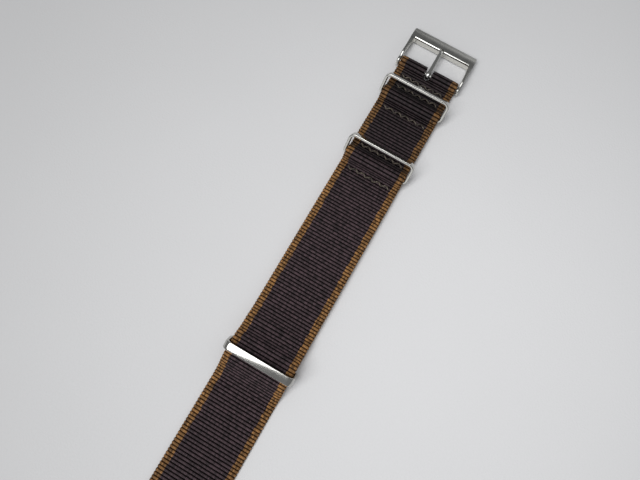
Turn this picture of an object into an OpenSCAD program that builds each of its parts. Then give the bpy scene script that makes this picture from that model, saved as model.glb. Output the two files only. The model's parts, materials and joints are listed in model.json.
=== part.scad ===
// Pass-through watch strap of ribbed webbing, with a pin buckle and three band keepers.
// X runs along the strap towards the buckle, Y across it, and Z up from the table it lies on.

/* [Webbing] */
// Length over all, from the tail's tip to the buckle's outer edge
overall_l = 292; // [268:1:320]
// Width of the webbing
web_w = 20; // [18:0.5:24]
// Thickness of the webbing
web_t = 1.2; // [1:0.05:1.4]
// Radius of a crease, on the webbing's middle line
crease_r = 1.2; // [1:0.05:1.6]
// Radius of the short strap's bend down from its loop
bend_r = 1.8; // [1.6:0.1:2.4]
// Radius of the long strap's bends over the short strap
drape_r = 4; // [3:0.25:6]
// Radius of the long strap's fall to the table behind the end keeper
fall_r = 7; // [5:0.5:10]
// Air between the two straps where one passes over the other's loop
lay_gap = 0.05; // [0.03:0.01:0.2]
// Air between two plies of webbing that are sewn together
ply_gap = 0.02; // [0.01:0.01:0.04]

/* [Tail] */
// Radius of the two curves that narrow the tail
tail_side_r = 18; // [14:0.5:30]
// Radius of the tail's nose
tail_nose_r = 4; // [2:0.5:7]
// Number of adjustment holes
hole_n = 12; // [6:1:14]
// Radius of an adjustment hole
hole_r = 0.9; // [0.7:0.05:1.2]
// Distance from hole to hole
hole_pitch = 7; // [5:0.5:9]
// Distance from the tip to the first hole
hole_first = 22; // [18:1:30]

/* [Buckle] */
// Radius of the pin
pin_r = 0.75; // [0.6:0.05:0.9]
// Gap between the pin and the webbing folded round it
pin_play = 0.15; // [0.08:0.01:0.3]
// Distance from the pin's axis to the outer edge of the top bar
frame_reach = 13.4; // [12:0.1:15]
// Width of the top bar
bar_w = 4.3; // [3.4:0.05:5]
// Thickness of the frame
frame_t = 2.2; // [1.8:0.05:2.4]
// Height of the frame's plate above the pin's axis
frame_crank = 0.9; // [0.7:0.05:1.1]
// Distance from the pin's axis to where the arms have risen to the plate
crank_l = 2.5; // [2.3:0.1:3.2]
// Radius of an arm's round end
arm_end_r = 1.4; // [1.25:0.05:1.7]
// Width of an arm beside the webbing
arm_w = 0.9; // [0.6:0.05:1.2]
// Width of an arm where it joins the top bar
arm_root_w = 1.2; // [1.2:0.05:2]
// Gap between the webbing's edge and an arm
frame_gap = 0.1; // [0.06:0.01:0.3]
// Radius of the top bar's outer corners
frame_corner_r = 1.2; // [0.6:0.1:2]
// Radius of the window's inner corners
window_corner_r = 0.6; // [0.3:0.1:1.2]
// Width of the bevel along the top bar's inner edge
bevel = 0.4; // [0.2:0.05:0.6]
// Width of the rest for the tongue in the top bar
notch_w = 1.6; // [1.5:0.1:2.2]

/* [Tongue] */
// Width of the tongue
tongue_w = 1.3; // [1:0.05:1.4]
// Thickness of the tongue
tongue_t = 0.6; // [0.45:0.05:0.7]
// Radial clearance of the tongue's curl on the pin
hinge_gap = 0.05; // [0.02:0.01:0.08]
// Height of the crown halfway along the tongue, above a straight strip
tongue_crown = 0.22; // [0:0.02:0.4]
// How far the tongue's tip lies over the top bar
tongue_lap = 0.45; // [0.3:0.05:0.8]
// Gap under the tongue's tip
rest_gap = 0.02; // [0.02:0.01:0.1]
// Gap between the two ends of the tongue's curl
curl_slit = 0.18; // [0.1:0.02:0.3]
// Width of the slot that the tongue stands in
slot_w = 2.3; // [1.8:0.1:3]
// How far the slot runs behind the pin's axis
slot_back = 2.3; // [2:0.1:2.5]

/* [Keepers] */
// Width of a keeper's band
band_w = 2.45; // [2:0.05:3]
// Thickness of a keeper's band
band_t = 0.75; // [0.6:0.05:1]
// Radius along the band's edges
band_edge_r = 0.18; // [0.1:0.02:0.25]
// Height of a keeper from middle to middle of its bars
ring_h = 6; // [5.6:0.1:7]
// Gap between the webbing's edge and a keeper's side bar
ring_gap = 0.1; // [0.06:0.01:0.3]
// Outer radius of a keeper's two upper corners
ring_corner_r = 1.9; // [1.05:0.05:2.4]
// Outer radius of its two lower corners, beside the pocket
ring_low_r = 1.3; // [1.05:0.05:1.6]
// Clearance of a keeper's lower bar in its pocket
band_play = 0.04; // [0.03:0.01:0.1]
// Distance from the pin's axis to the front keeper's lower bar
front_at = 12.2; // [11.8:0.1:15]
// Distance from the pin's axis to the middle keeper's lower bar
middle_at = 35.1; // [32:0.1:45]
// Distance from the pin's axis to the end keeper's lower bar
end_at = 100.6; // [86:0.1:115]
// Lean of the front keeper towards the buckle
front_lean = 40; // [0:1:60]
// Lean of the middle keeper towards the buckle
middle_lean = 45; // [0:1:60]
// Lean of the end keeper towards the tail
end_lean = 15; // [0:1:30]
// Turn either way that the end keeper's loop leaves room for
end_turn = 40; // [35:1:45]

/* [Stitching] */
// Width of the sewing thread
thread_w = 0.5; // [0.4:0.02:0.6]
// Height of the thread on the outer face
thread_t = 0.5; // [0.35:0.05:0.6]
// Height of the thread where something lies on it
thread_flat_t = 0.2; // [0.12:0.02:0.22]
// Depth to which a row pulls the webbing in
groove_d = 0.25; // [0.24:0.01:0.35]
// Half the width of a row between the thread's middle lines
row_half = 0.55; // [0.45:0.05:0.7]
// Length of one zig and zag
row_pitch = 2.6; // [2:0.1:3.2]
// Bare edge beside a row
row_margin = 2.75; // [2.4:0.05:3.2]
// Flat webbing between the fold and the first row
fold_land = 0.8; // [0.1:0.1:2]
// Webbing left past the last row
flap_l = 1.2; // [0.8:0.1:2]

/* [Hidden] */
$fn = 64;

webbing_colour = [0.21, 0.17, 0.185];
under_colour = [0.25, 0.2, 0.215];
thread_colour = [0.3, 0.26, 0.22];
steel_colour = [0.72, 0.72, 0.72];
bright_colour = [0.85, 0.85, 0.84];

// How far a cutting shape runs past what it cuts
past = 1;
// Straight pieces in each arc of the webbing's middle line, and of the tail's outline
arc_steps = 10;
tail_steps = 16;

// Pin and fold
half_t = web_t / 2;
fold_r = pin_r + pin_play + half_t;
pin_z = fold_r + half_t;

// Buckle frame, in its own frame round the pin's axis
tip_r = frame_t / 2;
tip_x = frame_reach - tip_r;
frame_dip = atan(frame_crank / tip_x) + asin((pin_z - tip_r) / norm([tip_x, frame_crank]));
// How far a straight side of the frame keeps inside its round ends
side_in = 0.966;
window_x = frame_reach - bar_w;
frame_w = web_w + 2 * (frame_gap + arm_w);
arm_in_y = web_w / 2 + frame_gap;
root_in_y = frame_w / 2 - arm_root_w;
straight_x = fold_r + half_t + frame_gap;
bar_top_z = frame_crank + side_in * tip_r;
bar_low_z = frame_crank - side_in * tip_r;
frame_cut_h = 2 * (bar_top_z + past);
notch_z = bar_top_z - bevel;
notch_l = tongue_lap + 0.3;

// The pin's place, which centres the whole strap on the origin
pin_x = overall_l / 2 - tip_x * cos(frame_dip) - frame_crank * sin(frame_dip) - tip_r;
tip_end_x = -overall_l / 2;

// Tongue, round the pin's axis
curl_in_r = pin_r + hinge_gap;
curl_out_r = curl_in_r + tongue_t;
tongue_x = window_x + tongue_lap;
tongue_z = notch_z + rest_gap;
slit_turn = 18;

// Keepers and their pockets
ring_y = web_w / 2 + ring_gap + band_t / 2;
ring_bend_r = ring_corner_r - band_t / 2;
low_bend_r = ring_low_r - band_t / 2;
pocket_r = norm([band_w, band_t]) / 2 + band_play;
pocket_z = web_t + pocket_r;
pocket_line_r = pocket_r + half_t;
upper_z = web_t + ply_gap + half_t;
top_z = upper_z + half_t;
front_x = pin_x - front_at;
middle_x = pin_x - middle_at;
end_x = pin_x - end_at;

// Stitch rows: a zig-zag as long as the webbing is dark
row_l = web_w - 2 * row_margin;
row_turns = round(2 * row_l / row_pitch);
row_slope = atan(2 * row_half * row_turns / row_l);
thread_dx = thread_w / 2 / cos(row_slope);
groove_half = row_half + thread_dx + 0.02;
groove_slope = 0.1;
groove_reach = groove_half + groove_slope;
row_land = 0.06;
row_from_pocket = span(pocket_line_r, pocket_z, upper_z) + row_land + groove_reach;
row_from_fold = span(fold_r, pin_z, upper_z) + fold_land + groove_reach;
rows_x = [
  pin_x - row_from_fold,
  front_x + row_from_pocket,
  front_x - row_from_pocket,
  middle_x + row_from_pocket,
  middle_x - row_from_pocket
];
fold_end_x = rows_x[2] - groove_reach - flap_l;
short_start_x = rows_x[3] + groove_reach + flap_l;

// The short strap's loop round the end keeper's lower bar
loop_r = (band_w * sin(end_turn) + band_t * cos(end_turn)) / 2 + band_play;
loop_z = web_t + loop_r;
loop_half = band_w / 2 * cos(end_turn);
loop_top_z = loop_z + loop_r + half_t;
row_end_x = end_x + loop_half + s_run(loop_top_z - upper_z, bend_r) + row_land + groove_reach;
short_end_x = row_end_x + groove_reach + flap_l;

// The long strap's way over that loop
hump_z = loop_top_z + web_t + lay_gap;
over_flap_z = top_z + half_t;
fall_x = end_x - loop_half - s_run(hump_z - half_t, fall_r);
off_flap_x = short_end_x + lay_gap;

// Distance from a pocket's middle to where its crease leaves the flat webbing at height z
function span(line_r, pivot_z, z) = sqrt(pow(line_r + crease_r, 2) - pow(z + crease_r - pivot_z, 2));

// Turn and length of an S bend of two equal arcs that changes height by dz
function s_turn(dz, r) = acos(1 - abs(dz) / (2 * r));
function s_run(dz, r) = 2 * r * sin(s_turn(dz, r));

// Points [x, z, heading] along an arc, seen with X to the right and Z up
function arc(x, z, r, a0, a1) =
  let (side = a1 > a0 ? 90 : -90)
  [for (i = [0 : arc_steps]) let (a = a0 + (a1 - a0) * i / arc_steps) [x + r * cos(a), z + r * sin(a), a + side]];

// The same points without the doubles where two arcs meet
function tidy(path) = [for (i = [0 : len(path) - 1]) if (i == 0 || step_l(path, i) > 0.001) path[i]];
function step_l(path, i) = norm([path[i][0] - path[i - 1][0], path[i][1] - path[i - 1][1]]);

// An S bend from (x, z), up where dz is above zero and down where it is below
function s_bend(x, z, dz, r) =
  let (turn = s_turn(dz, r), run = s_run(dz, r))
  dz > 0
    ? concat(arc(x, z + r, r, -90, turn - 90), arc(x + run, z + dz - r, r, 90 + turn, 90))
    : concat(arc(x, z - r, r, 90, 90 - turn), arc(x + run, z + dz + r, r, 270 - turn, 270));

// The rise from flat webbing at height z to the curve round a bar
function rise(x, pivot_z, line_r, z) =
  let (d = span(line_r, pivot_z, z), lift = asin((z + crease_r - pivot_z) / (line_r + crease_r)))
  arc(x - d, z + crease_r, crease_r, -90, -lift);

// The webbing's way over a bar in its pocket: crease, round the bar, crease
function pocket(x) =
  let (
    d = span(pocket_line_r, pocket_z, upper_z),
    lift = asin((upper_z + crease_r - pocket_z) / (pocket_line_r + crease_r))
  )
  concat(
    rise(x, pocket_z, pocket_line_r, upper_z),
    arc(x, pocket_z, pocket_line_r, 180 - lift, lift),
    arc(x + d, upper_z + crease_r, crease_r, 180 + lift, 270)
  );

// The webbing's way round the pin, from the flat upper layer to the flat under layer
function fold() =
  let (lift = asin((upper_z + crease_r - pin_z) / (fold_r + crease_r)))
  concat(
    rise(pin_x, pin_z, fold_r, upper_z),
    arc(pin_x, pin_z, fold_r, 180 - lift, -90)
  );

long_path = tidy(concat(
  [[tip_end_x, half_t, 0]],
  s_bend(fall_x, half_t, hump_z - half_t, fall_r),
  s_bend(end_x + loop_half, hump_z, over_flap_z - hump_z, drape_r),
  s_bend(off_flap_x, over_flap_z, upper_z - over_flap_z, drape_r),
  pocket(middle_x),
  pocket(front_x),
  fold(),
  [[fold_end_x, half_t, -180]]
));

short_path = tidy(concat(
  [[short_start_x, half_t, 180]],
  arc(end_x - loop_half, loop_z, loop_r + half_t, 270, 90),
  s_bend(end_x + loop_half, loop_top_z, upper_z - loop_top_z, bend_r),
  [[short_end_x, upper_z, 0]]
));

// Webbing of full width that follows a path
module webbing(path) {
  side_on(web_w)
    polygon(concat(
      [for (p = path) [p[0] - half_t * sin(p[2]), p[1] + half_t * cos(p[2])]],
      [for (i = [len(path) - 1 : -1 : 0])
        [path[i][0] + half_t * sin(path[i][2]), path[i][1] - half_t * cos(path[i][2])]]
    ));
}

// Extrudes an outline in X and Z across the strap
module side_on(w) {
  rotate([90, 0, 0])
    linear_extrude(height = w, center = true)
      children();
}

// The pull of a stitch row in a face at height z: from above where side is 1, from below where it is -1
module groove(x, z, side) {
  translate([x, 0, z])
    side_on(web_w + 2 * past)
      polygon([
        [-groove_half, -side * groove_d],
        [groove_half, -side * groove_d],
        [groove_reach, 0],
        [groove_reach, side * past],
        [-groove_reach, side * past],
        [-groove_reach, 0]
      ]);
}

// Points of a circle's arc from angle a0 to a1
function round_points(x, y, r, a0, a1) =
  [for (i = [0 : tail_steps]) let (a = a0 + (a1 - a0) * i / tail_steps) [x + r * cos(a), y + r * sin(a)]];

// Outline seen from above: two curves narrow the tail and meet in a round nose
module tail_outline() {
  curve_y = tail_side_r - web_w / 2;
  nose_back = sqrt(pow(tail_side_r - tail_nose_r, 2) - pow(curve_y, 2));
  nose_x = tip_end_x + tail_nose_r;
  curve_x = nose_x + nose_back;
  nose_turn = acos(nose_back / (tail_side_r - tail_nose_r));
  polygon(concat(
    [[overall_l / 2, -web_w / 2], [overall_l / 2, web_w / 2]],
    round_points(curve_x, -curve_y, tail_side_r, 90, 180 - nose_turn),
    round_points(nose_x, 0, tail_nose_r, 180 - nose_turn, 180 + nose_turn),
    round_points(curve_x, curve_y, tail_side_r, 180 + nose_turn, 270)
  ));
}

module long_strap() {
  color(webbing_colour)
    difference() {
      intersection() {
        webbing(long_path);
        translate([0, 0, -past])
          linear_extrude(height = hump_z + 2 * past + 2 * pin_z)
            tail_outline();
      }
      for (x = rows_x)
        groove(x, top_z, 1);
      for (i = [0 : 2])
        groove(rows_x[i], 0, -1);
      for (i = [0 : hole_n - 1])
        translate([tip_end_x + hole_first + i * hole_pitch, 0, -past])
          cylinder(r = hole_r, h = web_t + 2 * past);
      tongue_slot();
    }
}

// The slot in the fold, with a round end behind the pin
module tongue_slot() {
  translate([pin_x - slot_back + slot_w / 2, 0, -past]) {
    cylinder(r = slot_w / 2, h = 2 * pin_z + 2 * past);
    translate([0, -slot_w / 2, 0])
      cube([slot_back + pin_z + past, slot_w, 2 * pin_z + 2 * past]);
  }
}

module short_strap() {
  color(under_colour)
    difference() {
      webbing(short_path);
      groove(rows_x[3], 0, -1);
      groove(rows_x[4], 0, -1);
      groove(row_end_x, 0, -1);
      groove(row_end_x, top_z, 1);
    }
}

// One row of thread, a zig-zag across the webbing, as high as t
module zigzag(t) {
  linear_extrude(height = t)
    polygon(concat(
      [for (i = [0 : row_turns]) [row_point_x(i) + thread_dx, row_point_y(i)]],
      [for (i = [row_turns : -1 : 0]) [row_point_x(i) - thread_dx, row_point_y(i)]]
    ));
}

function row_point_x(i) = (i % 2 == 0 ? -1 : 1) * row_half;
function row_point_y(i) = row_l * (i / row_turns - 0.5);

// The needle thread on top and the bobbin thread beneath
module stitch_row(x, top_t) {
  color(thread_colour) {
    translate([x, 0, top_z - groove_d])
      zigzag(top_t);
    translate([x, 0, groove_d - thread_flat_t])
      zigzag(thread_flat_t);
  }
}

module stitch_row_buckle() {
  stitch_row(rows_x[0], thread_t);
}

module stitch_row_front_near() {
  stitch_row(rows_x[1], thread_t);
}

module stitch_row_front_far() {
  stitch_row(rows_x[2], thread_t);
}

module stitch_row_middle_near() {
  stitch_row(rows_x[3], thread_t);
}

module stitch_row_middle_far() {
  stitch_row(rows_x[4], thread_t);
}

module stitch_row_end() {
  stitch_row(row_end_x, thread_flat_t);
}

// Puts a buckle part on the pin, dipped until the top bar lies on the table
module on_pin() {
  translate([pin_x, 0, pin_z])
    rotate([0, frame_dip, 0])
      children();
}

// The frame before it is cut out: round arm ends, a crank up to the plate, and the top bar's round edge
module frame_blank() {
  side_on(frame_w)
    circle(r = arm_end_r);
  side_on(frame_w)
    translate([tip_x, frame_crank])
      circle(r = tip_r);
  side_on(frame_w)
    polygon([
      [0.3 * arm_end_r, 0.45 * arm_end_r],
      [crank_l, bar_top_z],
      [tip_x, bar_top_z],
      [tip_x, bar_low_z],
      [crank_l, bar_low_z],
      [0.1 * arm_end_r, -0.8 * arm_end_r]
    ]);
}

// Top view of the frame with its outer corners rounded
module frame_outline() {
  corner_x = frame_reach - frame_corner_r;
  corner_y = frame_w / 2 - frame_corner_r;
  translate([-arm_end_r, -frame_w / 2])
    square([arm_end_r + corner_x, frame_w]);
  translate([corner_x, -corner_y])
    square([frame_corner_r, 2 * corner_y]);
  for (side = [-1, 1])
    translate([corner_x, side * corner_y])
      circle(r = frame_corner_r);
}

// Top view of the window, which narrows from the webbing to the top bar
module frame_window() {
  corner_x = window_x - window_corner_r;
  corner_y = root_in_y - window_corner_r;
  polygon([
    [-arm_end_r - past, -arm_in_y],
    [straight_x, -arm_in_y],
    [corner_x, -root_in_y],
    [corner_x, root_in_y],
    [straight_x, arm_in_y],
    [-arm_end_r - past, arm_in_y]
  ]);
  translate([corner_x, -corner_y])
    square([window_corner_r, 2 * corner_y]);
  for (side = [-1, 1])
    translate([corner_x, side * corner_y])
      circle(r = window_corner_r);
}

module buckle_frame() {
  color(steel_colour)
    on_pin()
      difference() {
        intersection() {
          frame_blank();
          linear_extrude(height = frame_cut_h, center = true)
            frame_outline();
        }
        linear_extrude(height = frame_cut_h, center = true)
          frame_window();
        inner_bevel();
        translate([window_x - past, -notch_w / 2, notch_z])
          cube([past + notch_l, notch_w, past]);
        rotate([90, 0, 0])
          cylinder(r = pin_r, h = frame_w + 2 * past, center = true);
      }
}

// The bevel along the top bar's inner edge
module inner_bevel() {
  side_on(2 * (root_in_y - window_corner_r))
    polygon([
      [window_x - past, notch_z],
      [window_x, notch_z],
      [window_x + bevel + past, bar_top_z + past],
      [window_x - past, bar_top_z + past]
    ]);
}

module buckle_pin() {
  color(bright_colour)
    on_pin()
      rotate([90, 0, 0])
        cylinder(r = pin_r, h = frame_w, center = true);
}

// Side of the tongue: a curl round the pin, and a strip with a low crown that rises to the top bar
module tongue_side() {
  crown_x = tongue_x / 2;
  crown_z = (curl_in_r + tongue_z) / 2 + tongue_crown;
  nose_l = tongue_t * 0.7;
  difference() {
    union() {
      circle(r = curl_out_r);
      polygon([
        [0, curl_in_r],
        [crown_x, crown_z],
        [tongue_x, tongue_z],
        [tongue_x, tongue_z + tongue_t / 2],
        [tongue_x - nose_l, tongue_z + tongue_t],
        [crown_x, crown_z + tongue_t],
        [0, curl_out_r]
      ]);
    }
    circle(r = curl_in_r);
    rotate(slit_turn)
      translate([0, -curl_slit / 2])
        square([curl_out_r + past / 5, curl_slit]);
  }
}

module buckle_tongue() {
  nose_x = tongue_x - tongue_w / 2;
  color(bright_colour)
    on_pin()
      intersection() {
        side_on(tongue_w)
          tongue_side();
        linear_extrude(height = 4 * curl_out_r, center = true) {
          translate([-curl_out_r, -tongue_w / 2])
            square([curl_out_r + nose_x, tongue_w]);
          translate([nose_x, 0])
            circle(r = tongue_w / 2);
        }
      }
}

// Section of a keeper's band, thickness along X and width along Y, with rounded edges
module band_section() {
  square([band_t, band_w - 2 * band_edge_r], center = true);
  square([band_t - 2 * band_edge_r, band_w], center = true);
  for (x = [-1, 1], y = [-1, 1])
    translate([x * (band_t / 2 - band_edge_r), y * (band_w / 2 - band_edge_r)])
      circle(r = band_edge_r);
}

// A straight stretch of band along Y, centred on the origin
module band_straight(l) {
  rotate([90, 0, 0])
    linear_extrude(height = l, center = true)
      band_section();
}

// A keeper lying flat, with the middle of its lower bar on the origin
module band_ring() {
  for (bar = [[0, low_bend_r], [ring_h, ring_bend_r]])
    translate([0, bar[0], 0])
      rotate([0, 0, 90])
        band_straight(2 * (ring_y - bar[1]));
  for (side = [-1, 1])
    translate([side * ring_y, (ring_h + low_bend_r - ring_bend_r) / 2, 0])
      band_straight(ring_h - low_bend_r - ring_bend_r);
  band_corner(ring_y - ring_bend_r, ring_h - ring_bend_r, ring_bend_r, 0);
  band_corner(ring_bend_r - ring_y, ring_h - ring_bend_r, ring_bend_r, 90);
  band_corner(low_bend_r - ring_y, low_bend_r, low_bend_r, 180);
  band_corner(ring_y - low_bend_r, low_bend_r, low_bend_r, 270);
}

// A quarter bend of the band round (x, y), with radius r on its middle line
module band_corner(x, y, r, turn) {
  translate([x, y, 0])
    rotate([0, 0, turn])
      rotate_extrude(angle = 90)
        translate([r, 0])
          band_section();
}

// A keeper with its lower bar at (x, z), leaning towards the buckle
module keeper(x, z, lean) {
  color(bright_colour)
    translate([x, 0, z])
      rotate([0, lean, 0])
        rotate([90, 0, 90])
          band_ring();
}

module keeper_front() {
  keeper(front_x, pocket_z, front_lean);
}

module keeper_middle() {
  keeper(middle_x, pocket_z, middle_lean);
}

module keeper_end() {
  keeper(end_x, loop_z, -end_lean);
}

long_strap();
short_strap();
buckle_frame();
buckle_pin();
buckle_tongue();
keeper_front();
keeper_middle();
keeper_end();
stitch_row_buckle();
stitch_row_front_near();
stitch_row_front_far();
stitch_row_middle_near();
stitch_row_middle_far();
stitch_row_end();
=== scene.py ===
"""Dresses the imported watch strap: ribbed webbing, sewn thread, steel fittings, table, light and camera."""

import json
import logging
import math
from collections.abc import Callable, Iterable
from dataclasses import dataclass, field
from enum import Enum
from functools import reduce

import bpy
from mathutils import Matrix, Vector

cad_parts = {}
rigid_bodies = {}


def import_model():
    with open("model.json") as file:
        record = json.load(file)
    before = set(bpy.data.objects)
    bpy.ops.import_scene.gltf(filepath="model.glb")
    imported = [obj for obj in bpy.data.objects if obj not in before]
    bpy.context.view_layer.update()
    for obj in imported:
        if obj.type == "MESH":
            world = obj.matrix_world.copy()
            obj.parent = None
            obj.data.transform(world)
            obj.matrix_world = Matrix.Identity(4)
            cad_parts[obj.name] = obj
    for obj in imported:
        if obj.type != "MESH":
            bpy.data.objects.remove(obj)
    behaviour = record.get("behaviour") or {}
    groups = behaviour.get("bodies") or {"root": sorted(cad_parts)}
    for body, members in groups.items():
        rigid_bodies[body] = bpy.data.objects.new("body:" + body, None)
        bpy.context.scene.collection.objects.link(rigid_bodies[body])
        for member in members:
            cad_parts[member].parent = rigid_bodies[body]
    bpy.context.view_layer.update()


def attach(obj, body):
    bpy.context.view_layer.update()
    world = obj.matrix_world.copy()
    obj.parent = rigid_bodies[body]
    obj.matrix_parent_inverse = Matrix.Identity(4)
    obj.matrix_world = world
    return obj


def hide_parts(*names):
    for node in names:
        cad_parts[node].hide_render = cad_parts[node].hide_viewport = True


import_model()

MM = 0.001
NEAR = 0.01  # millimetres within which something is at a place
WELD = 0.002  # millimetres within which two points are one
HALVINGS = 40  # steps of a search that halves its range
LOG = logging.getLogger("watch_strap")

Point = tuple[float, float]
Triple = tuple[float, float, float]
Step = tuple[float, float, float, float]  # low, high, value at low, value at high
Socket = bpy.types.NodeSocket
Piece = bpy.types.Object


class Slot(Enum):
    """The record's material slots."""

    WEBBING = "webbing"
    UNDER_WEBBING = "under_webbing"
    THREAD = "thread"
    SATIN = "satin_steel"
    POLISHED = "polished_steel"
    KEEPER = "keeper_steel"


class Body(Enum):
    """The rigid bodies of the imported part."""

    STRAP = "strap"
    BUCKLE = "buckle"
    TONGUE = "tongue"
    FRONT_RING = "front_ring"
    MIDDLE_RING = "middle_ring"
    END_RING = "end_ring"


# Sizes, in millimetres, repeated from the part's source


def s_turn(rise: float, radius: float) -> float:
    """Turn in degrees of an S bend of two equal arcs that changes height by rise."""
    return math.degrees(math.acos(1 - abs(rise) / (2 * radius)))


def s_run(rise: float, radius: float) -> float:
    """Length in X of an S bend of two equal arcs that changes height by rise."""
    return 2 * radius * math.sin(math.radians(s_turn(rise, radius)))


@dataclass
class Sizes:
    """The strap's driving sizes, and what follows from them."""

    overall_l: float = 292.0
    web_w: float = 20.0
    web_t: float = 1.2
    crease_r: float = 1.2
    bend_r: float = 1.8
    drape_r: float = 4.0
    fall_r: float = 7.0
    lay_gap: float = 0.05
    ply_gap: float = 0.02
    tail_side_r: float = 18.0
    tail_nose_r: float = 4.0
    hole_n: int = 12
    hole_r: float = 0.9
    hole_pitch: float = 7.0
    hole_first: float = 22.0
    pin_r: float = 0.75
    pin_play: float = 0.15
    frame_reach: float = 13.4
    bar_w: float = 4.3
    frame_t: float = 2.2
    frame_crank: float = 0.9
    crank_l: float = 2.5
    side_in: float = 0.966
    arm_end_r: float = 1.4
    arm_w: float = 0.9
    arm_root_w: float = 1.2
    frame_gap: float = 0.1
    frame_corner_r: float = 1.2
    window_corner_r: float = 0.6
    bevel: float = 0.4
    notch_w: float = 1.6
    tongue_t: float = 0.6
    hinge_gap: float = 0.05
    tongue_crown: float = 0.22
    tongue_lap: float = 0.45
    rest_gap: float = 0.02
    slot_w: float = 2.3
    slot_back: float = 2.3
    band_w: float = 2.45
    band_t: float = 0.75
    ring_h: float = 6.0
    ring_gap: float = 0.1
    ring_corner_r: float = 1.9
    ring_low_r: float = 1.3
    band_play: float = 0.04
    front_at: float = 12.2
    middle_at: float = 35.1
    end_at: float = 100.6
    end_turn: float = 40.0
    groove_d: float = 0.25
    groove_play: float = 0.02
    groove_slope: float = 0.1
    thread_w: float = 0.5
    thread_t: float = 0.5
    thread_flat_t: float = 0.2
    row_half: float = 0.55
    row_turns: int = 11
    row_l: float = 14.5
    row_land: float = 0.06
    fold_land: float = 0.8
    flap_l: float = 1.2

    def __post_init__(self) -> None:
        """Works out what follows from the driving sizes."""
        self.half_t = self.web_t / 2
        # Middle line of the fold round the pin, and the pin's height
        self.fold_r = self.pin_r + self.pin_play + self.half_t
        self.pin_z = self.fold_r + self.half_t
        # The top bar's round outer edge, and the dip in degrees that rests it on the table
        self.tip_r = self.frame_t / 2
        self.tip_x = self.frame_reach - self.tip_r
        drop = math.asin((self.pin_z - self.tip_r) / math.hypot(self.tip_x, self.frame_crank))
        self.dip = math.degrees(math.atan(self.frame_crank / self.tip_x) + drop)
        dip = math.radians(self.dip)
        tip_reach = self.tip_x * math.cos(dip)
        self.pin_x = self.overall_l / 2 - tip_reach - self.frame_crank * math.sin(dip) - self.tip_r
        # The frame in the buckle's own axes: its plate's two faces, the window and the whole width
        self.bar_top_z = self.frame_crank + self.side_in * self.tip_r
        self.bar_low_z = self.frame_crank - self.side_in * self.tip_r
        self.window_x = self.frame_reach - self.bar_w
        self.frame_w = self.web_w + 2 * (self.frame_gap + self.arm_w)
        self.window_y = self.web_w / 2 + self.frame_gap
        self.root_y = self.frame_w / 2 - self.arm_root_w
        # Middle line and face of the upper ply
        self.upper_z = self.web_t + self.ply_gap + self.half_t
        self.top_z = self.upper_z + self.half_t
        # The keepers' lower bars in their pockets
        self.pocket_r = math.hypot(self.band_w, self.band_t) / 2 + self.band_play
        self.pocket_z = self.web_t + self.pocket_r
        self.front_x = self.pin_x - self.front_at
        self.middle_x = self.pin_x - self.middle_at
        self.end_x = self.pin_x - self.end_at
        # The short strap's loop round the end keeper's lower bar, and the long strap over it
        turn = math.radians(self.end_turn)
        self.loop_r = (self.band_w * math.sin(turn) + self.band_t * math.cos(turn)) / 2 + self.band_play
        self.loop_z = self.web_t + self.loop_r
        self.loop_half = self.band_w / 2 * math.cos(turn)
        self.loop_top_z = self.loop_z + self.loop_r + self.half_t
        self.hump_z = self.loop_top_z + self.web_t + self.lay_gap
        # The rows of thread: one leg's length, half a groove's width, and their places
        self.leg_l = math.hypot(2 * self.row_half, self.row_l / self.row_turns)
        slope = math.atan(2 * self.row_half * self.row_turns / self.row_l)
        floor = self.row_half + self.thread_w / 2 / math.cos(slope) + self.groove_play
        self.groove_reach = floor + self.groove_slope
        pocket = self.span(self.pocket_r + self.half_t, self.pocket_z) + self.row_land + self.groove_reach
        fold = self.span(self.fold_r, self.pin_z) + self.fold_land + self.groove_reach
        self.rows_x = [self.pin_x - fold, self.front_x + pocket, self.front_x - pocket,
                       self.middle_x + pocket, self.middle_x - pocket]
        run = s_run(self.loop_top_z - self.upper_z, self.bend_r)
        self.row_end_x = self.end_x + self.loop_half + run + self.row_land + self.groove_reach
        self.flap_end = self.row_end_x + self.groove_reach + self.flap_l

    def span(self, line_r: float, pivot_z: float) -> float:
        """Distance from a bar's middle to where the webbing leaves the flat.

        Args:
            line_r: Radius of the webbing's middle line round the bar.
            pivot_z: Height of the bar's middle.

        Returns:
            The distance in millimetres.
        """
        reach = line_r + self.crease_r
        return math.sqrt(reach ** 2 - (self.upper_z + self.crease_r - pivot_z) ** 2)


SIZES = Sizes()


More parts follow.
